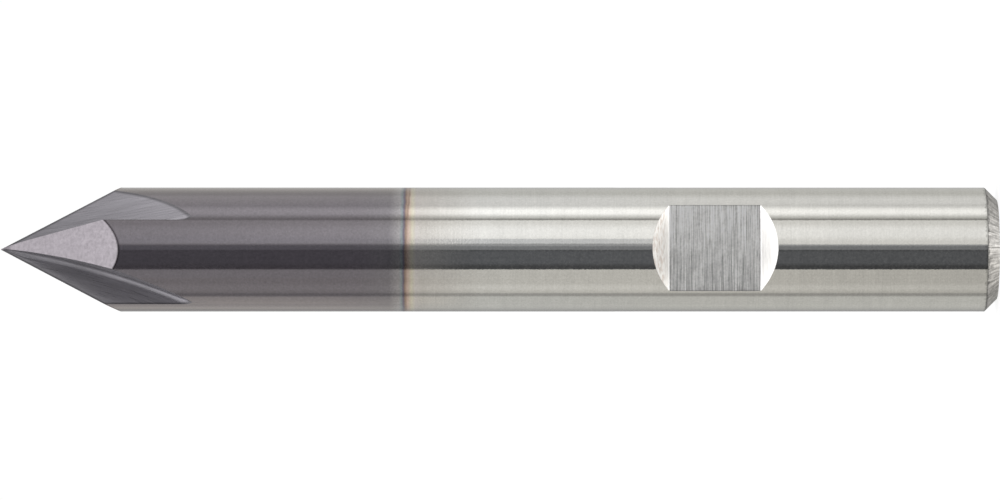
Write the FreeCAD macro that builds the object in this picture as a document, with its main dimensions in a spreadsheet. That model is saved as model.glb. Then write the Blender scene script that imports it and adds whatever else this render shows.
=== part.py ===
import FreeCAD, Part
import math
import os

import Sketcher

# Chamfer mill ground from one carbide rod, standing on the end of its shank.
# +Z runs along the tool from the shank's end face to the tip. The clamping flat faces -Y.
# Lengths are millimetres and angles are degrees.

NODE = "chamfer_mill"
LEAST_CUT = 0.01  # cubic millimetres that every cut has to take away

SIZES = [
    ("blank_diameter", 8.0, "ground rod that is both the shank and the head"),
    ("overall_length", 64.25, "from the shank's end face to the tip"),
    ("end_chamfer", 0.8, "45 degree chamfer round the shank's end face"),
    ("flat_centre", 18.25, "middle of the clamping flat above the end face"),
    ("flat_length", 5.85, "level part of the clamping flat, along the tool"),
    ("flat_depth", 1.1, "how deep the clamping flat is cut, which leaves 6.9 under it"),
    ("flat_wall_angle", 45.0, "slope of the flat's two end walls"),
    ("tooth_count", 4, "teeth, each with one relief facet and one flute ahead of it"),
    ("point_angle", 60.0, "included angle of the cone that the cutting edges sweep"),
    ("rake_turn", 25.0, "direction of the first rake face, turned from +X about +Z"),
    ("rake_ahead", 0.12, "distance of each rake face ahead of the tool's axis"),
    ("relief_turn", 27.2, "angle that each relief facet faces behind its rake face"),
    ("wheel_diameter", 100.0, "disc that grinds the flutes"),
    ("wheel_beyond_tip", 8.6, "height of the disc's centre above the tip"),
    ("root_past_axis", 0.04, "how far past the tool's axis the flute's root starts at the tip"),
    ("wheel_angle", 71.0, "angle between the disc's flat side and its sloping rim"),
    ("wheel_corner_radius", 0.28, "round on the disc's edge, left as the flute's root"),
]


def make_sizes(doc):
    """Driving dimensions, one to a row: name, value and meaning."""
    sheet = doc.addObject("Spreadsheet::Sheet", "sizes")
    for row, (alias, value, meaning) in enumerate(SIZES, start=1):
        sheet.set(f"A{row}", alias)
        sheet.set(f"B{row}", str(value))
        sheet.setAlias(f"B{row}", alias)
        sheet.set(f"C{row}", meaning)
    doc.recompute()
    return sheet


def origin_feature(body, role):
    return next(item for item in body.Origin.OriginFeatures if item.Role == role)


def new_sketch(body, name, role):
    """Sketch on one of the body's own origin planes."""
    sketch = body.newObject("Sketcher::SketchObject", name)
    sketch.AttachmentSupport = (origin_feature(body, role), [""])
    sketch.MapMode = "FlatFace"
    return sketch


def turn_about_tool(sketch, axis, expression):
    """Swing a sketch round the tool's axis, which is the sketch's own given axis."""
    sketch.AttachmentOffset = FreeCAD.Placement(FreeCAD.Vector(), FreeCAD.Rotation(axis, 1.0))
    sketch.setExpression("AttachmentOffset.Rotation.Angle", expression)


def worked_out(sketch, expression):
    """The present value of an expression over the sheet."""
    result = sketch.evalExpression(expression)
    return float(getattr(result, "Value", result))


def drive(sketch, constraint, name, expression):
    """Add one dimension and bind it to the sheet."""
    number = sketch.addConstraint(constraint)
    sketch.renameConstraint(number, name)
    sketch.setExpression(f"Constraints.{name}", expression)


def place_point(sketch, geometry, end, name, across, along):
    """Hold one point at an across and an along distance from the sketch's origin."""
    for axis, kind, expression in ((-2, "DistanceX", across), (-1, "DistanceY", along)):
        if expression == "0":
            sketch.addConstraint(Sketcher.Constraint("PointOnObject", geometry, end, axis))
            continue
        distance = worked_out(sketch, expression)
        constraint = Sketcher.Constraint(kind, -1, 1, geometry, end, distance)
        drive(sketch, constraint, f"{name}_{kind[-1].lower()}", expression)


def add_outline(sketch, corners):
    """Closed outline of straight lines through named corners."""
    points = [
        FreeCAD.Vector(worked_out(sketch, across), worked_out(sketch, along), 0)
        for name, across, along in corners
    ]
    count = len(points)
    for index in range(count):
        sketch.addGeometry(Part.LineSegment(points[index], points[(index + 1) % count]), False)
    for index in range(count):
        following = (index + 1) % count
        sketch.addConstraint(Sketcher.Constraint("Coincident", index, 2, following, 1))
    for index, (name, across, along) in enumerate(corners):
        place_point(sketch, index, 1, name, across, along)


def add_blank(body):
    """Round rod with a chamfered end, turned from half of its lengthwise section."""
    sketch = new_sketch(body, "rod_section", "XZ_Plane")
    radius = "sizes.blank_diameter / 2"
    add_outline(sketch, [
        ("end_centre", "0", "0"),
        ("end_rim", f"{radius} - sizes.end_chamfer", "0"),
        ("chamfer_top", radius, "sizes.end_chamfer"),
        ("front_rim", radius, "sizes.overall_length"),
        ("tip", "0", "sizes.overall_length"),
    ])
    rod = body.newObject("PartDesign::Revolution", "rod")
    rod.Profile = sketch
    rod.ReferenceAxis = (sketch, ["V_Axis"])
    rod.Angle = 360.0
    return rod


def cut_across(body, name, sketch):
    """Pocket that runs the same way to both sides of its sketch, right across the rod."""
    cut = body.newObject("PartDesign::Pocket", name)
    cut.Profile = sketch
    cut.SideType = "Symmetric"
    cut.setExpression("Length", "2 * sizes.blank_diameter")
    return cut


def add_clamping_flat(body):
    """Level flat across the shank with two sloping end walls, seen from the tool's side."""
    sketch = new_sketch(body, "flat_section", "YZ_Plane")
    floor = "sizes.flat_depth - sizes.blank_diameter / 2"
    outside = "-sizes.blank_diameter"
    half = "sizes.flat_length / 2"
    wall = f"({floor} + sizes.blank_diameter) / tan(sizes.flat_wall_angle)"
    add_outline(sketch, [
        ("floor_low", floor, f"sizes.flat_centre - {half}"),
        ("floor_high", floor, f"sizes.flat_centre + {half}"),
        ("mouth_high", outside, f"sizes.flat_centre + {half} + {wall}"),
        ("mouth_low", outside, f"sizes.flat_centre - {half} - {wall}"),
    ])
    return cut_across(body, "clamping_flat", sketch)


def add_relief_facet(body):
    """Flat facet behind one cutting edge, sloping from the tip down to the rod's side.

    The facet faces relief_turn behind the rake face. Its own slope is the cone's half
    angle seen from there, so that the cutting edge lies on the cone.
    """
    sketch = new_sketch(body, "relief_section", "XZ_Plane")
    turn_about_tool(sketch, FreeCAD.Vector(0, 1, 0), "sizes.rake_turn - sizes.relief_turn")
    slope = "tan(sizes.point_angle / 2) * cos(sizes.relief_turn)"
    tip = "sizes.overall_length"
    reach = "sizes.blank_diameter"
    add_outline(sketch, [
        ("tip", "0", tip),
        ("far_side", reach, f"{tip} - {reach} / ({slope})"),
        ("far_above", reach, f"{tip} + {reach}"),
        ("above_tip", "0", f"{tip} + {reach}"),
    ])
    return cut_across(body, "relief_facet", sketch)


def add_wheel_section(body):
    """Half section of the disc that grinds a flute, with its axle, level with its centre.

    Across is outward from the tool's axis along the rake face, and along is the way that
    the tooth cuts. The disc's flat side leaves the rake face, its sloping rim the floor.
    """
    sketch = new_sketch(body, "wheel_section", "XY_Plane")
    turn_about_tool(sketch, FreeCAD.Vector(0, 0, 1), "sizes.rake_turn")
    sketch.setExpression("AttachmentOffset.Base.z", "sizes.overall_length + sizes.wheel_beyond_tip")

    wheel = "sizes.wheel_diameter / 2"
    axle = f"sqrt(({wheel}) ^ 2 - sizes.wheel_beyond_tip ^ 2) - sizes.root_past_axis"
    rim_across = f"{axle} - {wheel}"
    rim_along = "sizes.rake_ahead"
    hub_across = f"{rim_across} + 2 * sizes.blank_diameter"
    back_along = "sizes.rake_ahead + sizes.blank_diameter"
    back_across = f"{rim_across} + sizes.blank_diameter / tan(sizes.wheel_angle)"

    def at(across, along):
        return FreeCAD.Vector(worked_out(sketch, across), worked_out(sketch, along), 0)

    def line(start, end, construction=False):
        return sketch.addGeometry(Part.LineSegment(start, end), construction)

    radius = worked_out(sketch, "sizes.wheel_corner_radius")
    opening = math.radians(worked_out(sketch, "sizes.wheel_angle"))
    tangent = radius / math.tan(opening / 2)
    rim = at(rim_across, rim_along)
    rake_end = rim + FreeCAD.Vector(tangent, 0, 0)
    floor_end = rim + FreeCAD.Vector(tangent * math.cos(opening), tangent * math.sin(opening), 0)
    circle = Part.Circle(rim + FreeCAD.Vector(tangent, radius, 0), FreeCAD.Vector(0, 0, 1), radius)
    round_edge = Part.ArcOfCircle(circle, math.pi / 2 + opening, math.pi * 3 / 2)

    face = line(rake_end, at(hub_across, rim_along))
    hub = line(at(hub_across, rim_along), at(hub_across, back_along))
    back = line(at(hub_across, back_along), at(back_across, back_along))
    slope = line(at(back_across, back_along), floor_end)
    corner = sketch.addGeometry(round_edge, False)
    axis = line(at(axle, rim_along), at(axle, back_along), construction=True)
    sharp = sketch.addGeometry(Part.Point(rim), True)

    sketch.addConstraint([
        Sketcher.Constraint("Coincident", face, 2, hub, 1),
        Sketcher.Constraint("Coincident", hub, 2, back, 1),
        Sketcher.Constraint("Coincident", back, 2, slope, 1),
        Sketcher.Constraint("Tangent", slope, 2, corner, 1),
        Sketcher.Constraint("Tangent", corner, 2, face, 1),
        Sketcher.Constraint("Horizontal", face),
        Sketcher.Constraint("Vertical", hub),
        Sketcher.Constraint("PointOnObject", sharp, 1, face),
        Sketcher.Constraint("PointOnObject", sharp, 1, slope),
    ])
    place_point(sketch, sharp, 1, "rim", rim_across, rim_along)
    place_point(sketch, hub, 2, "hub", hub_across, back_along)
    place_point(sketch, slope, 1, "back", back_across, back_along)
    place_point(sketch, axis, 1, "axle_front", axle, rim_along)
    place_point(sketch, axis, 2, "axle_back", axle, back_along)
    rounding = Sketcher.Constraint("Radius", corner, radius)
    drive(sketch, rounding, "corner_radius", "sizes.wheel_corner_radius")
    return sketch


def add_flute(body):
    """Straight flute ahead of one tooth, as the disc leaves it: deepest at the tip."""
    section = add_wheel_section(body)
    flute = body.newObject("PartDesign::Groove", "flute")
    flute.Profile = section
    flute.ReferenceAxis = (section, ["Axis0"])
    flute.Angle = 360.0
    return flute


def repeat_teeth(body, cuts):
    """All the teeth, evenly spaced round the tool."""
    teeth = body.newObject("PartDesign::PolarPattern", "teeth")
    teeth.Originals = cuts
    teeth.Axis = (origin_feature(body, "Z_Axis"), [""])
    teeth.Angle = 360.0
    teeth.setExpression("Occurrences", "sizes.tooth_count")
    teeth.Refine = True
    body.Tip = teeth
    return teeth


def check(doc, features):
    """Every object is sound, and every cut takes some metal away."""
    for item in doc.Objects:
        if "Invalid" in item.State or "Error" in item.State:
            raise RuntimeError(f"{item.Label} did not build: {item.State}")
    for item in features:
        if item.Shape.isNull() or not item.Shape.isValid():
            raise RuntimeError(f"{item.Label} has no sound shape")
    for before, after in zip(features, features[1:]):
        if after.Shape.Volume > before.Shape.Volume - LEAST_CUT:
            raise RuntimeError(f"{after.Label} cuts nothing")
    if len(features[-1].Shape.Solids) != 1:
        raise RuntimeError("the tool is not one solid")


def main():
    doc = FreeCAD.newDocument("chamfer_mill")
    make_sizes(doc)
    body = doc.addObject("PartDesign::Body", NODE)
    body.Label = NODE
    rod = add_blank(body)
    clamping_flat = add_clamping_flat(body)
    relief_facet = add_relief_facet(body)
    flute = add_flute(body)
    teeth = repeat_teeth(body, [relief_facet, flute])
    doc.recompute()
    check(doc, [rod, clamping_flat, relief_facet, flute, teeth])

    os.makedirs("parts", exist_ok=True)
    body.Shape.exportStep(f"parts/{body.Label}.step")
    print(f"{body.Label}: {body.Shape.Volume:.1f} mm3, {len(body.Shape.Faces)} faces")


main()
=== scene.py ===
"""Looks of the chamfer mill: one finely meshed piece with ground, polished and coated
surfaces, a white floor, soft studio light and the photograph's camera.

Lengths are millimetres and angles degrees up to the last step, which scales to metres.
"""
import math

import bmesh
import bpy
from mathutils import Matrix, Vector

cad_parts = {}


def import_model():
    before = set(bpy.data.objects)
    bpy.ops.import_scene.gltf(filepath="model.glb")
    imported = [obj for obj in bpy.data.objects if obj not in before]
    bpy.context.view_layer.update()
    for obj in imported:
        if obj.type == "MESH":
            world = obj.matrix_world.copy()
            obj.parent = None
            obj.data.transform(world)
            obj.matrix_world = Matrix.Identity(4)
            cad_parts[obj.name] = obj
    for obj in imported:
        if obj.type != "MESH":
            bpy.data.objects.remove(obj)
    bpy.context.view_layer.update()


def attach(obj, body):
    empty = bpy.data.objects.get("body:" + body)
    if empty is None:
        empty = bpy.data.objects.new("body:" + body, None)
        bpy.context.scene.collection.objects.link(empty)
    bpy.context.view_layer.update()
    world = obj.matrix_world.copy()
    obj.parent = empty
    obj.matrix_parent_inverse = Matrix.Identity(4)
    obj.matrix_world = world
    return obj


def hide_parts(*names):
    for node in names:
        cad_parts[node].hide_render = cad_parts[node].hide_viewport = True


MM = 0.001

# The tool, as the solid is made.
ROD_RADIUS = 4.0
LENGTH = 64.25
END_CHAMFER = 0.8
FLAT_CENTRE = 18.25
FLAT_LENGTH = 5.85
FLAT_DEPTH = 1.1
TEETH = 4
POINT_ANGLE = 60.0
RAKE_TURN = 25.0
RAKE_AHEAD = 0.12
RELIEF_TURN = 27.2
WHEEL_RADIUS = 50.0
WHEEL_BEYOND_TIP = 8.6
ROOT_PAST_AXIS = 0.04
WHEEL_ANGLE = 71.0
WHEEL_CORNER = 0.28
EDGE_ROUND = 0.05

# Close to the tip the flutes are cut nearer to the axis and with a sharper root, so that
# they reach it. The solid leaves this out.
TIP_STRETCH = 2.0
TIP_AHEAD = 0.06
TIP_CORNER = 0.05

# Worked out from the sizes above.
BEND = EDGE_ROUND * math.tan(math.radians(22.5))
PITCH = 360.0 / TEETH
FACET_SLOPE = math.tan(math.radians(POINT_ANGLE / 2)) * math.cos(math.radians(RELIEF_TURN))
FACET_TURN = PITCH - RELIEF_TURN
CORNER_SLOPE = FACET_SLOPE * math.sqrt(2) * math.sin(math.radians(PITCH / 2 - RELIEF_TURN))
WHEEL_SLOPE = math.tan(math.radians(WHEEL_ANGLE))
AXLE = math.sqrt(WHEEL_RADIUS**2 - WHEEL_BEYOND_TIP**2) - ROOT_PAST_AXIS
CORNER_RADIUS = WHEEL_RADIUS - WHEEL_CORNER / math.tan(math.radians(WHEEL_ANGLE / 2))
CORNER_AHEAD = RAKE_AHEAD + WHEEL_CORNER
CORNER_END = 90.0 - WHEEL_ANGLE

# The camera: how far it stands round from the flat, its distance from the tool's axis,
# its height on the tool, its shift across it, and the width that its picture shows there.
CAMERA_TURN = 1.9
CAMERA_DISTANCE = 450.0
CAMERA_HEIGHT = 32.03
CAMERA_ASIDE = 0.03
PICTURE_WIDTH = 64.516
SENSOR_WIDTH = 36.0

# Mesh columns of each stretch of a tooth's section, in order round the tool.
OUTER_COLUMNS = 14
STRETCHES = [("rake", 12), ("root", 10), ("floor", 16),
             ("side", OUTER_COLUMNS), ("facet", OUTER_COLUMNS), ("side", OUTER_COLUMNS)]
FLAT_COLUMNS = 24
ROUND_COLUMNS = 96

# The head's rings end above the shank's first ring. Plain triangles join the two.
HEAD_END = LENGTH - 19.6
SHANK_START = LENGTH - 20.0

# Steps of each search for a crossing, the places on the wheel's outline that are tried
# first, the least cut that counts, and the distance within which points are joined.
HALVINGS = 40
FIRST_PLACES = [i / 40 for i in range(121)]
LEAST_CUT = 1e-6
SAME_POINT = 2e-5

# These keep the patterns of the teeth, and of a facet and its flute, from repeating.
TOOTH_SHIFT = 11.0
FACET_SHIFT = 7.0

# Every surface of the tool, and the material that each one takes.
MATERIAL_OF = {"side": 0, "facet": 1, "rake": 2, "root": 2, "floor": 2, "flat": 3,
               "wall_up": 4, "wall_down": 4, "chamfer": 5, "end": 5}
SURFACES = list(MATERIAL_OF)
FLUTE = ("rake", "root", "floor")
LEVEL = {"flat": (0, -1, 0), "wall_up": (0, -1, -1), "wall_down": (0, -1, 1), "end": (0, 0, -1)}


def turned(x, y, degrees):
    c, s = math.cos(math.radians(degrees)), math.sin(math.radians(degrees))
    return x * c - y * s, x * s + y * c


def clamp(value, low, high):
    return max(low, min(high, value))


def mix(a, b, share):
    return a + (b - a) * share


def steps(start, end, count, power=1.0):
    """Values from start to short of end. A power above 1 brings the first ones together."""
    return [mix(start, end, (i / count) ** power) for i in range(count)]


def closing_steps(start, end, count):
    """Values from start to short of end, which get closer together."""
    return [mix(end, start, (1 - i / count) ** 2) for i in range(count)]


# Sections of the head


def wheel_cut(drop):
    """The cut at a depth below the wheel's centre: how far its flat side is ahead of the
    axis, its corner's radius, and the wheel's radius where the corner starts."""
    share = clamp((drop - WHEEL_BEYOND_TIP) / TIP_STRETCH, 0, 1)
    share = share * share * (3 - 2 * share)
    corner = mix(TIP_CORNER, WHEEL_CORNER, share)
    start = WHEEL_RADIUS - corner / math.tan(math.radians(WHEEL_ANGLE / 2))
    return mix(TIP_AHEAD, RAKE_AHEAD, share), corner, start


def wheel_outline(place, drop):
    """Outline of the grinding wheel at a depth below its centre, as (out, ahead).

    place runs 0 to 1 along the flat side, 1 to 2 round the corner, 2 to 3 up the rim.
    out is along the rake face from the tool's axis, ahead is the way the tooth cuts.
    """
    lead, corner, corner_start = wheel_cut(drop)
    if place <= 1:
        radius, ahead = corner_start, lead
    elif place <= 2:
        angle = math.radians(mix(-90, CORNER_END, place - 1))
        radius = corner_start + corner * math.cos(angle)
        ahead = lead + corner + corner * math.sin(angle)
    else:
        rim = lead + corner + corner * math.sin(math.radians(CORNER_END))
        ahead = mix(rim, 2 * ROD_RADIUS, place - 2)
        radius = WHEEL_RADIUS - (ahead - lead) / WHEEL_SLOPE
    out = AXLE - math.sqrt(radius**2 - drop**2)
    if place < 1:
        out = mix(2 * ROD_RADIUS, out, place)
    return out, ahead


def room_inside(point, facet_at):
    """How far a point of the section lies inside the rod and the facets."""
    x, y = point
    room = ROD_RADIUS - math.hypot(x, y)
    for k in range(TEETH):
        nx, ny = turned(1, 0, k * PITCH - RELIEF_TURN)
        room = min(room, facet_at - x * nx - y * ny)
    return room


def crossing(outside, inside, drop, facet_at):
    """Place on the wheel's outline where it passes through the surface."""
    for _ in range(HALVINGS):
        middle = (outside + inside) / 2
        if room_inside(wheel_outline(middle, drop), facet_at) > 0:
            inside = middle
        else:
            outside = middle
    return inside


def flute_range(from_tip):
    """Where the wheel's outline enters and leaves the tool, or None where it misses."""
    drop = WHEEL_BEYOND_TIP + from_tip
    facet_at = from_tip * FACET_SLOPE
    deepest = max(FIRST_PLACES, key=lambda p: room_inside(wheel_outline(p, drop), facet_at))
    if room_inside(wheel_outline(deepest, drop), facet_at) <= LEAST_CUT:
        return None
    return crossing(0, deepest, drop, facet_at), crossing(3, deepest, drop, facet_at)


def surface_point(angle, facet_at):
    """Point of the outer surface at an angle, on the rod or on the next tooth's facet."""
    lean = math.cos(math.radians(angle - FACET_TURN))
    radius = ROD_RADIUS
    if facet_at < ROD_RADIUS * lean:
        radius = facet_at / lean
    return turned(radius, 0, angle)


def tooth_section(from_tip):
    """One tooth's share of the section, counter-clockwise from its cutting edge."""
    drop = WHEEL_BEYOND_TIP + from_tip
    facet_at = from_tip * FACET_SLOPE
    found = flute_range(from_tip)
    if found:
        entry, leave = found
        flute = [[clamp(p, entry, leave) for p in ends] for ends in ((0, 1), (1, 2), (2, 3))]
        flute = [[wheel_outline(mix(*ends, i / n), drop) for i in range(n)]
                 for ends, (_, n) in zip(flute, STRETCHES)]
        edge, heel = wheel_outline(entry, drop), wheel_outline(leave, drop)
        edge_angle = math.degrees(math.atan2(edge[1], edge[0]))
        heel_angle = math.degrees(math.atan2(heel[1], heel[0]))
    else:
        # The flute's columns meet in a point: between two facets before the flute starts,
        # and on the rod past its end.
        corner = PITCH / 2 - RELIEF_TURN
        if from_tip > 1:
            corner = math.degrees(math.asin(CORNER_AHEAD / ROD_RADIUS))
        edge_angle = heel_angle = corner
        flute = [[surface_point(corner, facet_at)] * n for _, n in STRETCHES[:3]]
    next_edge = edge_angle + PITCH
    spread = math.degrees(math.acos(clamp(facet_at / ROD_RADIUS, 0, 1)))
    facet_start = clamp(FACET_TURN - spread, heel_angle, next_edge)
    facet_end = clamp(FACET_TURN + spread, heel_angle, next_edge)
    lower = [surface_point(a, facet_at) for a in steps(heel_angle, facet_start, OUTER_COLUMNS)]
    upper = [surface_point(a, facet_at) for a in steps(facet_end, next_edge, OUTER_COLUMNS)]
    start, end = surface_point(facet_start, facet_at), surface_point(facet_end, facet_at)
    facet = list(zip(steps(start[0], end[0], OUTER_COLUMNS), steps(start[1], end[1], OUTER_COLUMNS)))
    return flute + [lower, facet, upper]


def head_ring(z):
    section = [p for stretch in tooth_section(LENGTH - z) for p in stretch]
    return [turned(*p, RAKE_TURN + k * PITCH) + (z,) for k in range(TEETH) for p in section]


def heel_leaves_facet():
    """Distance from the tip at which the flute's far edge passes from facet to rod."""
    low, high = 4.0, ROD_RADIUS / FACET_SLOPE
    for _ in range(HALVINGS):
        middle = (low + high) / 2
        leave = flute_range(middle)[1]
        point = wheel_outline(leave, WHEEL_BEYOND_TIP + middle)
        if math.hypot(*point) < ROD_RADIUS - 1e-7:
            low = middle
        else:
            high = middle
    return low


def head_stations():
    """Distances from the tip of the head's rings: close together where edges turn."""
    # The flutes start here. Each pass uses the wheel's place at the depth found before.
    onset = 0.0
    for _ in range(20):
        onset = wheel_cut(WHEEL_BEYOND_TIP + onset)[0] / CORNER_SLOPE
    rake_out = math.sqrt(ROD_RADIUS**2 - RAKE_AHEAD**2)
    lean = math.radians(RELIEF_TURN)
    edge_out = (rake_out * math.cos(lean) - RAKE_AHEAD * math.sin(lean)) / FACET_SLOPE
    heel_out = heel_leaves_facet()
    arc_end = ROD_RADIUS / FACET_SLOPE
    shallow = AXLE - math.sqrt(ROD_RADIUS**2 - CORNER_AHEAD**2)
    run_out = math.sqrt((CORNER_RADIUS + WHEEL_CORNER) ** 2 - shallow**2) - WHEEL_BEYOND_TIP
    stations = steps(0.0, 0.4 * onset, 4)
    stations += steps(onset, edge_out, 34, power=1.5)
    stations += steps(edge_out, heel_out, 4)
    stations += closing_steps(heel_out, arc_end, 14)
    stations += closing_steps(arc_end, run_out, 36)
    stations += steps(run_out, LENGTH - HEAD_END, 6)
    stations += [LENGTH - HEAD_END]
    # The first ring is a little way from the tip, so that it isn't a point.
    return [max(s, 0.002) for s in stations]


# Sections of the shank


def flat_distance(z):
    """Distance from the axis to the clamping flat or its end walls, at most the rod's."""
    past = abs(z - FLAT_CENTRE) - FLAT_LENGTH / 2
    return clamp(ROD_RADIUS - FLAT_DEPTH + max(past, 0), 0, ROD_RADIUS)


def shank_ring(z, radius=ROD_RADIUS):
    """Ring with a chord across the clamping flat, which faces -Y, and the rest round."""
    half = math.degrees(math.acos(flat_distance(z) / ROD_RADIUS))
    left, right = turned(0, -radius, -half), turned(0, -radius, half)
    chord = [tuple(mix(a, b, i / FLAT_COLUMNS) for a, b in zip(left, right)) + (z,)
             for i in range(FLAT_COLUMNS)]
    arc = [turned(0, -radius, mix(half, 360 - half, i / ROUND_COLUMNS)) + (z,)
           for i in range(ROUND_COLUMNS)]
    return chord + arc


def shank_stations():
    """(z, radius) of the shank's rings, down to the end face."""
    rim = FLAT_CENTRE + FLAT_LENGTH / 2
    foot = FLAT_CENTRE - FLAT_LENGTH / 2
    heights = steps(SHANK_START, rim + FLAT_DEPTH, 24)
    heights += steps(rim + FLAT_DEPTH, rim, 14, power=2.0)
    heights += steps(rim, foot, 8)
    heights += closing_steps(foot, foot - FLAT_DEPTH, 14)
    heights += steps(foot - FLAT_DEPTH, END_CHAMFER + BEND, 16)
    rings = [(z, ROD_RADIUS) for z in heights]
    # The chamfer between its two rounded edges, and then the end face.
    upper_edge = [(END_CHAMFER + BEND - EDGE_ROUND * math.sin(math.radians(angle)),
                   ROD_RADIUS - EDGE_ROUND * (1 - math.cos(math.radians(angle))))
                  for angle in (0, 11, 22, 34, 45)]
    face_radius = ROD_RADIUS - END_CHAMFER - BEND
    lower_edge = [(EDGE_ROUND * (1 - math.sin(math.radians(angle))),
                   face_radius + EDGE_ROUND * math.cos(math.radians(angle)))
                  for angle in (45, 56, 68, 79, 90)]
    cone = [tuple(mix(a, b, share) for a, b in zip(upper_edge[-1], lower_edge[0]))
            for share in (0.25, 0.5, 0.75)]
    rings += upper_edge + cone + lower_edge
    rings += [(0.0, radius) for radius in steps(face_radius, 0.0, 8)[1:]]
    return rings


def shank_surface(column, z):
    if z <= 1e-9:
        return "end"
    if z < END_CHAMFER + BEND:
        return "chamfer"
    if column >= FLAT_COLUMNS or flat_distance(z) >= ROD_RADIUS:
        return "side"
    past = z - FLAT_CENTRE
    if abs(past) < FLAT_LENGTH / 2:
        return "flat"
    return "wall_up" if past > 0 else "wall_down"


# The mesh


def add_face(mesh, corners, surface, tooth=0):
    face = mesh.faces.new(corners)
    face[mesh.faces.layers.int["surface"]] = SURFACES.index(surface)
    face[mesh.faces.layers.int["tooth"]] = tooth


def add_rings(mesh, rings, surface_of):
    """Quads between rings of points. surface_of gives the name and tooth of each quad."""
    rows = [[mesh.verts.new(p) for p in ring] for ring in rings]
    count = len(rows[0])
    for upper, lower in zip(rows, rows[1:]):
        for j in range(count):
            following = (j + 1) % count
            corners = (upper[j], lower[j], lower[following], upper[following])
            middle = (upper[j].co.z + lower[j].co.z) / 2
            add_face(mesh, corners, *surface_of(j, middle))
    return rows


def close_ring(mesh, ring, point, surface, tooth_of, upward):
    """Triangles from a ring to one point above or below it."""
    tip = mesh.verts.new(point)
    for j, a in enumerate(ring):
        b = ring[(j + 1) % len(ring)]
        add_face(mesh, (a, b, tip) if upward else (b, a, tip), surface, tooth_of(j))


def rim_at(mesh, z):
    """Points of an open ring at a height, by angle."""
    rim = {v for e in mesh.edges if e.is_boundary for v in e.verts if abs(v.co.z - z) < 1e-3}
    return sorted((math.atan2(v.co.y, v.co.x), v.index, v) for v in rim)


def join_rims(mesh, top, bottom):
    """Triangles round the rod between two open rings with different numbers of points."""
    i = j = 0
    while i < len(top) or j < len(bottom):
        next_top = top[(i + 1) % len(top)][0] + 2 * math.pi * ((i + 1) // len(top))
        next_low = bottom[(j + 1) % len(bottom)][0] + 2 * math.pi * ((j + 1) // len(bottom))
        a, b = top[i % len(top)][2], bottom[j % len(bottom)][2]
        if j >= len(bottom) or (i < len(top) and next_top < next_low):
            i += 1
            add_face(mesh, (a, b, top[i % len(top)][2]), "side")
        else:
            j += 1
            add_face(mesh, (a, b, bottom[j % len(bottom)][2]), "side")


def flute_frame(tooth, x, y, z):
    """A point as out, ahead and drop from the grinding wheel, with its two directions."""
    turn = RAKE_TURN + tooth * PITCH
    out, ahead = turned(x, y, -turn)
    outward, forward = Vector(turned(1, 0, turn) + (0,)), Vector(turned(0, 1, turn) + (0,))
    return out, ahead, LENGTH + WHEEL_BEYOND_TIP - z, outward, forward


def flute_normal(surface, tooth, x, y, z):
    out, ahead, drop, outward, forward = flute_frame(tooth, x, y, z)
    if surface == "rake":
        return forward
    to_axle = (outward * (AXLE - out) + Vector((0, 0, drop))).normalized()
    angle = math.radians(CORNER_END)
    if surface == "root":
        lead, corner, _ = wheel_cut(drop)
        angle = math.asin(clamp((ahead - lead) / corner - 1, -1, 1))
    return to_axle * math.cos(angle) - forward * math.sin(angle)


def chamfer_normal(x, y, z):
    """Direction on the shank's end chamfer, with its two edges rounded."""
    if z > END_CHAMFER / 2:
        angle = min(math.asin(clamp((END_CHAMFER + BEND - z) / EDGE_ROUND, 0, 1)), math.pi / 4)
    else:
        angle = max(math.asin(clamp(1 - z / EDGE_ROUND, 0, 1)), math.pi / 4)
    radial = Vector((x, y, 0)).normalized()
    return radial * math.cos(angle) - Vector((0, 0, math.sin(angle)))


def surface_normal(surface, tooth, x, y, z):
    """Exact outward direction of a surface at a point on it."""
    if surface == "side":
        return Vector((x, y, 0)).normalized()
    if surface == "facet":
        turn = RAKE_TURN + FACET_TURN + tooth * PITCH
        return Vector(turned(1, 0, turn) + (FACET_SLOPE,)).normalized()
    if surface in FLUTE:
        return flute_normal(surface, tooth, x, y, z)
    if surface == "chamfer":
        return chamfer_normal(x, y, z)
    return Vector(LEVEL[surface]).normalized()


def grinding_place(surface, tooth, x, y, z):
    """Pattern coordinates in mm: along the grinding lines, across them, and a third."""
    if surface in FLUTE:
        out, ahead, drop = flute_frame(tooth, x, y, z)[:3]
        lead, _, corner_start = wheel_cut(drop)
        past_root = math.hypot(AXLE - out, drop) - corner_start
        across = past_root if surface == "rake" else ahead - lead - past_root
        return math.atan2(drop, AXLE - out) * WHEEL_RADIUS, across, TOOTH_SHIFT * tooth
    if surface == "facet":
        out, across = turned(x, y, -RAKE_TURN - FACET_TURN - tooth * PITCH)
        return across, z, FACET_SHIFT + TOOTH_SHIFT * tooth
    if surface == "chamfer":
        around = Vector((x, y)).normalized() * ROD_RADIUS
        return z, around.x, around.y
    if surface == "end":
        return x, y, 0.0
    return x, z, y


def edge_room(surface, x, y, z):
    """How deep a point lies below the facets, and in a flute also below the rod."""
    rooms = [ROD_RADIUS - math.hypot(x, y)] if surface in FLUTE else []
    for k in range(TEETH):
        nx, ny = turned(1, 0, RAKE_TURN + FACET_TURN + k * PITCH)
        rooms.append((LENGTH - z) * FACET_SLOPE - x * nx - y * ny)
    return clamp(min(rooms), 0, 1)


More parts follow.
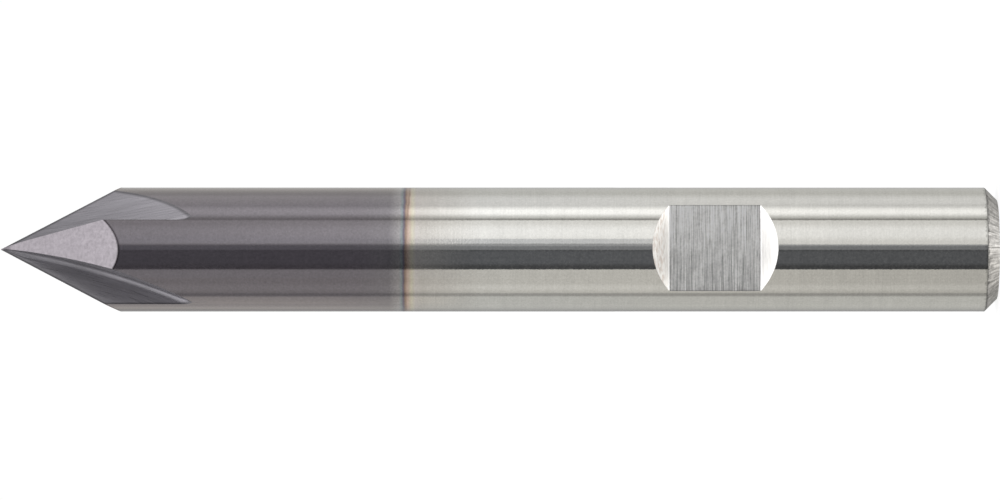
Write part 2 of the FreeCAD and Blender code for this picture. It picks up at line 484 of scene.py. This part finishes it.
def build_tool(name):
    """The whole tool as one mesh with exact normals and pattern coordinates."""
    work = bmesh.new()
    work.faces.layers.int.new("surface")
    work.faces.layers.int.new("tooth")
    columns = [(surface, k) for k in range(TEETH) for surface, n in STRETCHES for _ in range(n)]
    head_rings = [head_ring(LENGTH - s) for s in head_stations()]
    head = add_rings(work, head_rings, lambda j, z: columns[j])
    close_ring(work, head[0], (0, 0, LENGTH), "facet", lambda j: columns[j][1], upward=True)
    shank_rings = [shank_ring(z, r) for z, r in shank_stations()]
    shank = add_rings(work, shank_rings, lambda j, z: (shank_surface(j, z), 0))
    close_ring(work, shank[-1], (0, 0, 0), "end", lambda j: 0, upward=False)
    bmesh.ops.remove_doubles(work, verts=work.verts, dist=SAME_POINT)
    work.verts.index_update()
    join_rims(work, rim_at(work, HEAD_END), rim_at(work, SHANK_START))

    mesh = bpy.data.meshes.new(name)
    work.to_mesh(mesh)
    work.free()
    surfaces = [SURFACES[a.value] for a in mesh.attributes["surface"].data]
    teeth = [a.value for a in mesh.attributes["tooth"].data]
    normals = []
    places = []
    rooms = []
    for face in mesh.polygons:
        face.use_smooth = True
        face.material_index = MATERIAL_OF[surfaces[face.index]]
        for v in face.vertices:
            at = mesh.vertices[v].co
            normals.append(surface_normal(surfaces[face.index], teeth[face.index], *at))
            places.extend(grinding_place(surfaces[face.index], teeth[face.index], *at))
            rooms.append(edge_room(surfaces[face.index], *at))
    mesh.attributes.remove(mesh.attributes["surface"])
    mesh.attributes.remove(mesh.attributes["tooth"])
    grinding = mesh.attributes.new("grinding", "FLOAT_VECTOR", "CORNER")
    grinding.data.foreach_set("vector", places)
    mesh.attributes.new("edge_room", "FLOAT", "CORNER").data.foreach_set("value", rooms)
    mesh.normals_split_custom_set(normals)
    mesh.transform(Matrix.Scale(MM, 4))
    tool = bpy.data.objects.new(name, mesh)
    bpy.context.scene.collection.objects.link(tool)
    return tool


# Shader helpers


def node(tree, kind, inputs=None, **settings):
    """Add a shader node. Inputs are sockets to link or plain values."""
    made = tree.nodes.new("ShaderNode" + kind)
    for key, value in settings.items():
        setattr(made, key, value)
    for key, value in (inputs or {}).items():
        if isinstance(value, bpy.types.NodeSocket):
            tree.links.new(value, made.inputs[key])
        else:
            made.inputs[key].default_value = value
    return made


def calc(tree, operation, a, b=0.0):
    return node(tree, "Math", {0: a, 1: b}, operation=operation).outputs[0]


def ramp(tree, value, low, high, to_low=0.0, to_high=1.0, smooth=True):
    """A value brought from one range to another, kept inside it."""
    inputs = {"Value": value, "From Min": low, "From Max": high, "To Min": to_low, "To Max": to_high}
    kind = "SMOOTHSTEP" if smooth else "LINEAR"
    return node(tree, "MapRange", inputs, interpolation_type=kind).outputs[0]


def blend_colour(tree, share, a, b):
    inputs = {"Factor": share, 6: a, 7: b}
    return node(tree, "Mix", inputs, data_type="RGBA").outputs[2]


def scaled(tree, colour, share):
    return node(tree, "VectorMath", {0: colour, "Scale": share}, operation="SCALE").outputs[0]


def noise(tree, place, scale, stretch=(1, 1, 1), detail=2.0, roughness=0.5):
    """Noise round 0.5 over a place in mm, stretched by dividing each direction."""
    spread = node(tree, "VectorMath", {0: place, 1: stretch}, operation="DIVIDE").outputs[0]
    inputs = {"Vector": spread, "Scale": scale, "Detail": detail, "Roughness": roughness}
    return node(tree, "TexNoise", inputs).outputs[0]


def blended(tree, share, value):
    """One where the share is 0 and the value where it is 1."""
    return calc(tree, "ADD", 1.0, calc(tree, "MULTIPLY", share, calc(tree, "SUBTRACT", value, 1.0)))


def grey(level, warmth=0.0):
    """A grey, with a little more red and a good deal less blue the warmer it is."""
    return (level * (1 + 0.7 * warmth), level, level * (1 - 1.6 * warmth), 1.0)


def start_material(name):
    """A material, its tree and its principled shader, which starts as metal."""
    material = bpy.data.materials.new(name)
    material.use_nodes = True
    tree = material.node_tree
    tree.nodes.clear()
    shader = node(tree, "BsdfPrincipled", {"Metallic": 1.0})
    out = node(tree, "OutputMaterial")
    tree.links.new(shader.outputs[0], out.inputs["Surface"])
    return material, tree, shader


def place_on_tool(tree):
    """The place on the tool in mm."""
    return scaled(tree, node(tree, "TexCoord").outputs["Object"], 1 / MM)


def grinding(tree):
    """Pattern coordinates of the grinding lines in mm."""
    return node(tree, "Attribute", attribute_name="grinding").outputs["Vector"]


def off_axis(tree, axes):
    """Distance from the tool's axis in mm."""
    sideways = node(tree, "CombineXYZ", {0: axes[0], 1: axes[1]}).outputs[0]
    return node(tree, "VectorMath", {0: sideways}, operation="LENGTH").outputs["Value"]


def near_edge(tree, start, end, darkest):
    """A share that falls from 1 to the given one at the head's sharp edges."""
    room = node(tree, "Attribute", attribute_name="edge_room").outputs["Fac"]
    return ramp(tree, room, start, end, darkest, 1.0)


def bump(tree, shader, height, depth_mm):
    made = node(tree, "Bump", {"Height": height, "Distance": depth_mm * MM, "Strength": 1.0})
    tree.links.new(made.outputs[0], shader.inputs["Normal"])


def varied(tree, colour, value, amount):
    """A colour made darker and lighter by a noise value."""
    share = ramp(tree, value, 0.25, 0.75, 1 - amount, 1 + amount, smooth=False)
    return scaled(tree, colour, share)


# Materials

# The coating's border: its height on the tool, and how much it leans across the tool.
COAT_END = 38.187
COAT_TILT = -0.0115

# Colours round the border, each at its distance past it in mm.
COAT_COLOURS = [
    ("silver", -5.0, (0.63, 0.625, 0.60)),
    ("haze", -1.1, (0.51, 0.49, 0.46)),
    ("dull pink", -0.78, (0.53, 0.50, 0.48)),
    ("cream", -0.52, (0.56, 0.53, 0.43)),
    ("tan", -0.27, (0.495, 0.385, 0.33)),
    ("brown", -0.1, (0.28, 0.205, 0.163)),
    ("violet", 0.0, (0.155, 0.135, 0.175)),
    ("teal", 0.14, (0.22, 0.255, 0.265)),
    ("pale grey", 0.3, (0.246, 0.232, 0.238)),
    ("thin coat", 0.95, (0.132, 0.120, 0.134)),
    ("coat", 3.0, (0.117, 0.102, 0.119)),
]


def coat_colours(tree, past):
    """Colour of the rod's side by the distance past the coating's border in mm."""
    first, last = COAT_COLOURS[0][1], COAT_COLOURS[-1][1]
    colours = node(tree, "ValToRGB", {"Fac": ramp(tree, past, first, last, smooth=False)})
    elements = colours.color_ramp.elements
    for index, (_, at, colour) in enumerate(COAT_COLOURS):
        element = elements[index] if index < 2 else elements.new(1.0)
        element.position = (at - first) / (last - first)
        element.color = (*colour, 1.0)
    return colours.outputs["Color"]


def polished_side():
    """The rod's round side: mirror-ground shank, coated towards the tip."""
    material, tree, shader = start_material("polished_side")
    place = place_on_tool(tree)
    axes = node(tree, "SeparateXYZ", {0: place}).outputs
    border = node(tree, "Math", {0: axes[0], 1: COAT_TILT, 2: COAT_END}, operation="MULTIPLY_ADD")
    wobble = ramp(tree, noise(tree, place, 1.2), 0.3, 0.7, -0.03, 0.03, smooth=False)
    past = calc(tree, "ADD", calc(tree, "SUBTRACT", axes[2], border.outputs[0]), wobble)
    # Marks round the rod, clouds and marks along it, and a grain that shows more on the coat.
    turning = noise(tree, place, 1.0, (3.0, 3.0, 0.11), detail=3.0, roughness=0.6)
    cloud = noise(tree, place, 1.0, (2.5, 2.5, 0.6), detail=3.0)
    drawn = noise(tree, place, 1.0, (0.16, 0.16, 40.0))
    grain = noise(tree, place, 7.0, roughness=0.6)
    colour = varied(tree, varied(tree, coat_colours(tree, past), turning, 0.03), cloud, 0.035)
    speckle = calc(tree, "MULTIPLY", calc(tree, "SUBTRACT", grain, 0.5),
                   ramp(tree, past, -0.5, 0.5, 0.27, 0.75))
    colour = scaled(tree, varied(tree, colour, drawn, 0.02), calc(tree, "ADD", speckle, 1.0))
    # The bare metal is a little warmer towards the shank's end.
    warm = blend_colour(tree, ramp(tree, axes[2], 34, 14), (1, 1, 1, 1), (1.0, 0.993, 0.978, 1))
    colour = node(tree, "VectorMath", {0: colour, 1: warm}, operation="MULTIPLY").outputs[0]
    # A faint second line of tint beside the border, on one side of the rod only.
    second = calc(tree, "ADD", past, ramp(tree, axes[0], 0.0, 4.0, 0.12, 0.32, smooth=False))
    tint = calc(tree, "MULTIPLY", ramp(tree, calc(tree, "ABSOLUTE", second), 0.02, 0.1, 0.5, 0.0),
                ramp(tree, axes[0], 1.5, 2.3))
    colour = blend_colour(tree, tint, colour, (0.20, 0.14, 0.10, 1))
    # Small dark nicks along the edge of the end chamfer.
    ragged = noise(tree, place, 1.0, (0.3, 0.3, 0.5), detail=4.0, roughness=0.75)
    reach = ramp(tree, ragged, 0.45, 0.8, 0.0, 0.3)
    above = calc(tree, "SUBTRACT", axes[2], reach)
    colour = scaled(tree, colour, ramp(tree, above, END_CHAMFER, END_CHAMFER + 0.12, 0.68, 1.0))
    # Painted shade along the head's sharp edges: the colour is darker there, and they are less
    # glossy.
    painted_edge_shade = near_edge(tree, 0.015, 0.09, 0.0)
    colour = scaled(tree, colour, ramp(tree, painted_edge_shade, 0, 1, 0.5, 1, smooth=False))
    tree.links.new(colour, shader.inputs["Base Color"])
    coat = calc(tree, "MULTIPLY", ramp(tree, past, 0.0, 0.35), painted_edge_shade)
    tree.links.new(coat, shader.inputs["Coat Weight"])
    specular = blend_colour(tree, ramp(tree, past, 0.0, 1.0), (1, 1, 1, 1), (0.86, 0.79, 0.73, 1))
    tree.links.new(specular, shader.inputs["Specular Tint"])
    # Less like a mirror beside the border, on the coat and in the grain.
    metal = calc(tree, "MULTIPLY", ramp(tree, past, -4.5, -0.5, 1.0, 0.92),
                 ramp(tree, past, 0.0, 1.6, 1.0, 0.815))
    metal = calc(tree, "MULTIPLY", metal, ramp(tree, grain, 0.3, 0.7, 1.0, 0.965, smooth=False))
    tree.links.new(metal, shader.inputs["Metallic"])
    shader.inputs["Coat IOR"].default_value = 1.7
    shader.inputs["Coat Roughness"].default_value = 0.08
    haze = ramp(tree, past, -5.0, -0.3, 0.055, 0.11)
    tree.links.new(haze, shader.inputs["Roughness"])
    height = calc(tree, "ADD", calc(tree, "MULTIPLY", turning, 0.4), grain)
    bump(tree, shader, height, 0.001)
    return material


def coated_facet():
    """Relief facets: fine matte coating over a fine grind."""
    material, tree, shader = start_material("coated_facet")
    place = place_on_tool(tree)
    grain = noise(tree, place, 5.0, detail=3.0, roughness=0.6)
    lines = noise(tree, grinding(tree), 1.0, (1.2, 0.10, 1.0), detail=3.0)
    blotch = noise(tree, place, 1.3, detail=3.0)
    colour = varied(tree, (0.268, 0.249, 0.268), grain, 0.19)
    colour = varied(tree, varied(tree, colour, lines, 0.04), blotch, 0.05)
    axes = node(tree, "SeparateXYZ", {0: place}).outputs
    # A little darker towards the tip, and painted shade darkening the tip itself.
    front = ramp(tree, axes[2], LENGTH - 6.6, LENGTH - 3.2, 1.045, 0.965, smooth=False)
    colour = scaled(tree, colour, front)
    colour = scaled(tree, colour, ramp(tree, axes[2], LENGTH - 0.85, LENGTH - 0.45, 1.0, 0.6))
    # Painted shade along the rounded edge where the facet meets the rod, which looks dark.
    out = off_axis(tree, axes)
    colour = scaled(tree, colour, ramp(tree, out, ROD_RADIUS - 0.042, ROD_RADIUS - 0.015, 1.0, 0.45))
    tree.links.new(colour, shader.inputs["Base Color"])
    shader.inputs["Roughness"].default_value = 0.42
    bump(tree, shader, grain, 0.002)
    return material


def coated_flute():
    """Rake face, root and floor: coated, with the disc's grinding lines along them."""
    material, tree, shader = start_material("coated_flute")
    lines = grinding(tree)
    fine = noise(tree, lines, 1.0, (2.2, 0.10, 1.0), detail=3.0, roughness=0.6)
    broad = noise(tree, lines, 1.0, (7.0, 0.45, 1.0))
    colour = varied(tree, varied(tree, (0.215, 0.208, 0.225), fine, 0.20), broad, 0.10)
    # Painted light: lighter on the rake face beside the root, where the root's highlight bounces
    # onto it.
    across = node(tree, "SeparateXYZ", {0: lines}).outputs[1]
    beside = calc(tree, "MULTIPLY", ramp(tree, across, -0.42, -0.06, 0.0, 0.22),
                  ramp(tree, across, 0.02, 0.14, 1.0, 0.0))
    colour = scaled(tree, colour, calc(tree, "ADD", beside, 1.0))
    # Painted shade: darker along the flute's edges with the facets and the rod.
    colour = scaled(tree, colour, near_edge(tree, 0.05, 0.18, 0.46))
    tree.links.new(colour, shader.inputs["Base Color"])
    shader.inputs["Metallic"].default_value = 0.64
    tree.links.new(ramp(tree, fine, 0.3, 0.7, 0.26, 0.34), shader.inputs["Roughness"])
    bump(tree, shader, fine, 0.0012)
    return material


def ground_flat():
    """The clamping flat: bare metal with grinding lines across the tool."""
    material, tree, shader = start_material("ground_flat")
    place = place_on_tool(tree)
    axes = node(tree, "SeparateXYZ", {0: place}).outputs
    lines = grinding(tree)
    fine = noise(tree, lines, 1.0, (4.5, 0.055, 1.0), detail=3.0, roughness=0.75)
    scratches = noise(tree, lines, 1.0, (1.1, 0.05, 1.0), detail=1.0)
    broad = noise(tree, lines, 1.0, (3.0, 0.30, 1.0))
    blotch = noise(tree, place, 1.1, detail=4.0, roughness=0.7)
    speck = noise(tree, place, 7.0)
    colour = varied(tree, varied(tree, (0.79, 0.783, 0.763), fine, 0.62), broad, 0.08)
    colour = varied(tree, varied(tree, colour, blotch, 0.17), speck, 0.10)
    colour = scaled(tree, colour, ramp(tree, scratches, 0.58, 0.72, 1.0, 0.72))
    # Painted light: lighter towards one long side, and painted shade as a dark line along both long
    # edges.
    colour = scaled(tree, colour, ramp(tree, axes[0], -2.7, 2.7, 0.86, 1.20, smooth=False))
    painted_edge_line = ramp(tree, calc(tree, "ABSOLUTE", axes[0]), 2.65, 2.74, 1.0, 0.6)
    tree.links.new(scaled(tree, colour, painted_edge_line), shader.inputs["Base Color"])
    tree.links.new(ramp(tree, fine, 0.3, 0.7, 0.30, 0.42), shader.inputs["Roughness"])
    bump(tree, shader, fine, 0.003)
    return material


def ground_wall():
    """The flat's sloping end walls: bright bare metal with faint tan marks."""
    material, tree, shader = start_material("ground_wall")
    place = place_on_tool(tree)
    axes = node(tree, "SeparateXYZ", {0: place}).outputs
    from_middle = calc(tree, "SUBTRACT", axes[2], FLAT_CENTRE)
    lines = grinding(tree)
    fine = noise(tree, lines, 1.0, (1.5, 0.12, 1.0), detail=3.0)
    streaks = noise(tree, lines, 1.0, (0.5, 0.10, 9.0), detail=4.0, roughness=0.7)
    stain = calc(tree, "MULTIPLY", ramp(tree, streaks, 0.44, 0.62),
                 ramp(tree, from_middle, FLAT_LENGTH / 2 + 0.1, FLAT_LENGTH / 2 + 0.5))
    colour = blend_colour(tree, stain, grey(0.955, 0.015), (0.78, 0.71, 0.66, 1))
    colour = scaled(tree, colour, ramp(tree, streaks, 0.35, 0.6, 1.03, 0.97))
    # Painted highlight at the foot, and painted shade where the wall meets the rod.
    from_foot = calc(tree, "SUBTRACT", calc(tree, "ABSOLUTE", from_middle), FLAT_LENGTH / 2)
    foot = ramp(tree, from_foot, 0.03, 0.13, 1.2, 0.93)
    colour = scaled(tree, varied(tree, colour, fine, 0.10), foot)
    out = off_axis(tree, axes)
    colour = scaled(tree, colour, ramp(tree, out, ROD_RADIUS - 0.05, ROD_RADIUS - 0.01, 1.0, 0.78))
    tree.links.new(colour, shader.inputs["Base Color"])
    shader.inputs["Roughness"].default_value = 0.28
    bump(tree, shader, fine, 0.001)
    return material


def ground_end():
    """The shank's end chamfer and face: bare metal with coarse grinding marks."""
    material, tree, shader = start_material("ground_end")
    place = place_on_tool(tree)
    axes = node(tree, "SeparateXYZ", {0: place}).outputs
    marks = noise(tree, grinding(tree), 1.0, (1.1, 0.11, 0.11), detail=3.0, roughness=0.7)
    blotch = noise(tree, place, 2.6, detail=4.0, roughness=0.75)
    colour = varied(tree, varied(tree, (0.424, 0.418, 0.406), marks, 0.72), blotch, 0.42)
    # A dark ragged line where the chamfer meets the rod's side.
    ragged = noise(tree, place, 1.0, (0.3, 0.3, 0.3), detail=3.0)
    line = calc(tree, "SUBTRACT", ramp(tree, ragged, 0.3, 0.7, END_CHAMFER, 0.68), axes[2])
    colour = scaled(tree, colour, ramp(tree, line, 0.0, 0.05, 0.5, 1.0))
    tree.links.new(colour, shader.inputs["Base Color"])
    shader.inputs["Roughness"].default_value = 0.42
    bump(tree, shader, marks, 0.006)
    return material


# The studio

# Heights between which the cards reach, in degrees above the level of the camera. The
# coated part mirrors the high ones to the camera, and the bare shank the others.
ALL = (-90, 90)
MIDDLE = (-1.75, 0.85)
HIGH = (0.9, 90)
LOW = (-90, 0.85)
SHADE = (1.95, 2.7)
HEIGHT_BLUR = 0.15

# Soft cards and dark gaps round the tool: from and to in degrees round the tool from the
# camera, how soft the sides are, brightness, warmth, and the heights. Later ones cover
# earlier ones.
CARDS = [
    ("behind, above", 158, 400, 34, 0.54, 0.0, ALL),
    ("behind, below", -400, -146, 36, 0.40, 0.0, ALL),
    ("low bounce, high up", -144, -98, 8, 0.80, 0.03, HIGH),
    ("low bounce glow, high up", -122, -98, 8, 0.98, 0.05, HIGH),
    ("ceiling", 78, 119, 24, 0.92, 0.0, ALL),
    ("ceiling glow, high up", 92, 118, 12, 0.99, 0.01, HIGH),
    ("softbox", 66, 84, 14, 1.52, 0.0, ALL),
    ("softbox shade", 66, 84, 12, 1.20, 0.0, SHADE),
    ("gap over window", 56.2, 59.7, 1.2, 0.38, 0.02, LOW),
    ("gap over window, high up", 56.2, 59.7, 1.2, 0.58, 0.02, HIGH),
    ("window", 8.0, 56, 1, 1.03, 0.01, ALL),
    ("window glow", 20, 44, 16, 1.28, 0.0, ALL),
    ("window glow, high up", 11, 26, 5, 1.24, -0.01, HIGH),
    ("window sill, high up", 7.0, 10.2, 1.6, 0.60, 0.0, HIGH),
    ("shelf", 8.0, 19.8, 1, 0.79, -0.02, MIDDLE),
    ("under shelf", 8.0, 11.0, 1, 0.42, -0.02, MIDDLE),
    ("dark room", -37.4, 8.0, 1, 0.068, -0.04, ALL),
    ("dark room glow", -28, -2, 9, 0.128, -0.06, ALL),
    ("dark room step", -0.6, 8.0, 1, 0.265, -0.04, ALL),
    ("dark room step, high up", -0.6, 6.6, 1, 0.31, -0.05, HIGH),
    ("foot of window", 6.4, 9.2, 2.4, 0.43, -0.03, LOW),
    ("warm wall", -93, -37.4, 1, 0.69, 0.03, ALL),
    ("warm wall, high up", -54, -37.4, 1, 0.74, 0.01, HIGH),
    ("warm wall glow", -82, -69, 10, 0.80, 0.025, ALL),
    ("gap below", -97.5, -89, 5, 0.42, 0.02, ALL),
]

# Colours of the room outside the cards, and the plain white behind the tool.
BACK_WALL = (0.67, 0.67, 0.65, 1.0)
OVERHEAD = (1.95, 1.93, 1.95, 1.0)
ROOM = (0.52, 0.52, 0.52, 1.0)
ZENITH = (2.02, 2.02, 2.02, 1.0)
UNDER = (0.62, 0.61, 0.59, 1.0)
BELOW = (1.87, 1.84, 1.80, 1.0)
BELOW_DARK = (1.36, 1.32, 1.26, 1.0)
WHITE = (1.02, 1.02, 1.02, 1.0)

# Half the side of the square floor.
FLOOR_HALF = 1500.0


def light_world():
    """Soft light all round: cards near the horizon, brighter overhead and below."""
    world = bpy.data.worlds.new("studio")
    bpy.context.scene.world = world
    world.use_nodes = True
    tree = world.node_tree
    tree.nodes.clear()
    direction = node(tree, "TexCoord").outputs["Generated"]
    axes = node(tree, "SeparateXYZ", {0: direction}).outputs
    turn = calc(tree, "ARCTAN2", axes[0], calc(tree, "MULTIPLY", axes[1], -1.0))
    turn = calc(tree, "ADD", calc(tree, "MULTIPLY", turn, 180 / math.pi), CAMERA_TURN)
    rise = calc(tree, "MULTIPLY", calc(tree, "ARCSINE", axes[2]), 180 / math.pi)
    colour = BACK_WALL
    for _, start, end, soft, level, warmth, (low, high) in CARDS:
        share = calc(tree, "MULTIPLY", ramp(tree, turn, start - soft / 2, start + soft / 2),
                     ramp(tree, turn, end - soft / 2, end + soft / 2, 1.0, 0.0))
        if (low, high) != ALL:
            reach = calc(tree, "MULTIPLY", ramp(tree, rise, low - HEIGHT_BLUR, low + HEIGHT_BLUR),
                         ramp(tree, rise, high - HEIGHT_BLUR, high + HEIGHT_BLUR, 1.0, 0.0))
            share = calc(tree, "MULTIPLY", share, reach)
        colour = blend_colour(tree, share, colour, grey(level, warmth))
    # The camera's side is a little darker below its level.
    facing = ramp(tree, calc(tree, "ABSOLUTE", turn), 88, 100, 1, 0)
    dimming = calc(tree, "MULTIPLY", facing, ramp(tree, rise, -0.8, -3.6, 0, 0.13))
    colour = blend_colour(tree, dimming, colour, (0, 0, 0, 1))
    # The window is brightest just above the camera's level and falls off upwards.
    window = calc(tree, "MULTIPLY", ramp(tree, turn, 8, 12), ramp(tree, turn, 52, 56, 1, 0))
    colour = scaled(tree, colour, blended(tree, window, ramp(tree, rise, 0.75, 0.95, 1.0, 1.32)))
    colour = scaled(tree, colour, blended(tree, window, ramp(tree, rise, 0.8, 2.8, 1.0, 0.62)))
    # Plain light further up and further down.
    colour = blend_colour(tree, ramp(tree, rise, 6, 14), colour, ROOM)
    colour = blend_colour(tree, ramp(tree, rise, 16, 52), colour, OVERHEAD)
    colour = blend_colour(tree, ramp(tree, rise, 60, 85), colour, ZENITH)
    below = blend_colour(tree, ramp(tree, turn, -70, 30), BELOW_DARK, BELOW)
    colour = blend_colour(tree, ramp(tree, rise, -8, -30), colour, UNDER)
    colour = blend_colour(tree, ramp(tree, rise, -44, -70), colour, below)
    seen = node(tree, "LightPath").outputs["Is Camera Ray"]
    colour = blend_colour(tree, seen, colour, WHITE)
    back = node(tree, "Background", {"Color": colour, "Strength": 1.0})
    out = node(tree, "OutputWorld")
    tree.links.new(back.outputs[0], out.inputs["Surface"])


def lay_floor():
    """Plain white floor, which the tool doesn't mirror."""
    mesh = bpy.data.meshes.new("floor")
    half = FLOOR_HALF * MM
    mesh.from_pydata([(-half, -half, 0), (half, -half, 0), (half, half, 0), (-half, half, 0)], [],
                     [(0, 1, 2, 3)])
    floor = bpy.data.objects.new("floor", mesh)
    bpy.context.scene.collection.objects.link(floor)
    floor.visible_glossy = False
    material, _, shader = start_material("floor_white")
    shader.inputs["Metallic"].default_value = 0.0
    shader.inputs["Base Color"].default_value = (0.1, 0.1, 0.1, 1)
    shader.inputs["Roughness"].default_value = 0.9
    shader.inputs["Emission Color"].default_value = (1, 1, 1, 1)
    shader.inputs["Emission Strength"].default_value = 0.85
    mesh.materials.append(material)


def place_camera():
    """The photograph's view: level, from the side, rolled so that the tip is on the left."""
    data = bpy.data.cameras.new("camera")
    data.sensor_width = SENSOR_WIDTH
    data.lens = SENSOR_WIDTH * CAMERA_DISTANCE / PICTURE_WIDTH
    data.clip_start = 10 * MM
    data.clip_end = 20000 * MM
    camera = bpy.data.objects.new("camera", data)
    bpy.context.scene.collection.objects.link(camera)
    turn = math.radians(CAMERA_TURN)
    back = Vector((-math.sin(turn), -math.cos(turn), 0))
    right = Vector((0, 0, -1))
    up = back.cross(right)
    place = back * CAMERA_DISTANCE + Vector((0, 0, CAMERA_HEIGHT)) - up * CAMERA_ASIDE
    turned_to = Matrix((right, up, back)).transposed().to_4x4()
    camera.matrix_world = Matrix.Translation(place * MM) @ turned_to
    bpy.context.scene.camera = camera


def dress():
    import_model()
    tool = build_tool("mill")
    for make in (polished_side, coated_facet, coated_flute, ground_flat, ground_wall, ground_end):
        tool.data.materials.append(make())
    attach(tool, "root")
    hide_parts("chamfer_mill")
    light_world()
    lay_floor()
    place_camera()
    view = bpy.context.scene.view_settings
    view.view_transform = "Standard"
    view.look = "None"


dress()
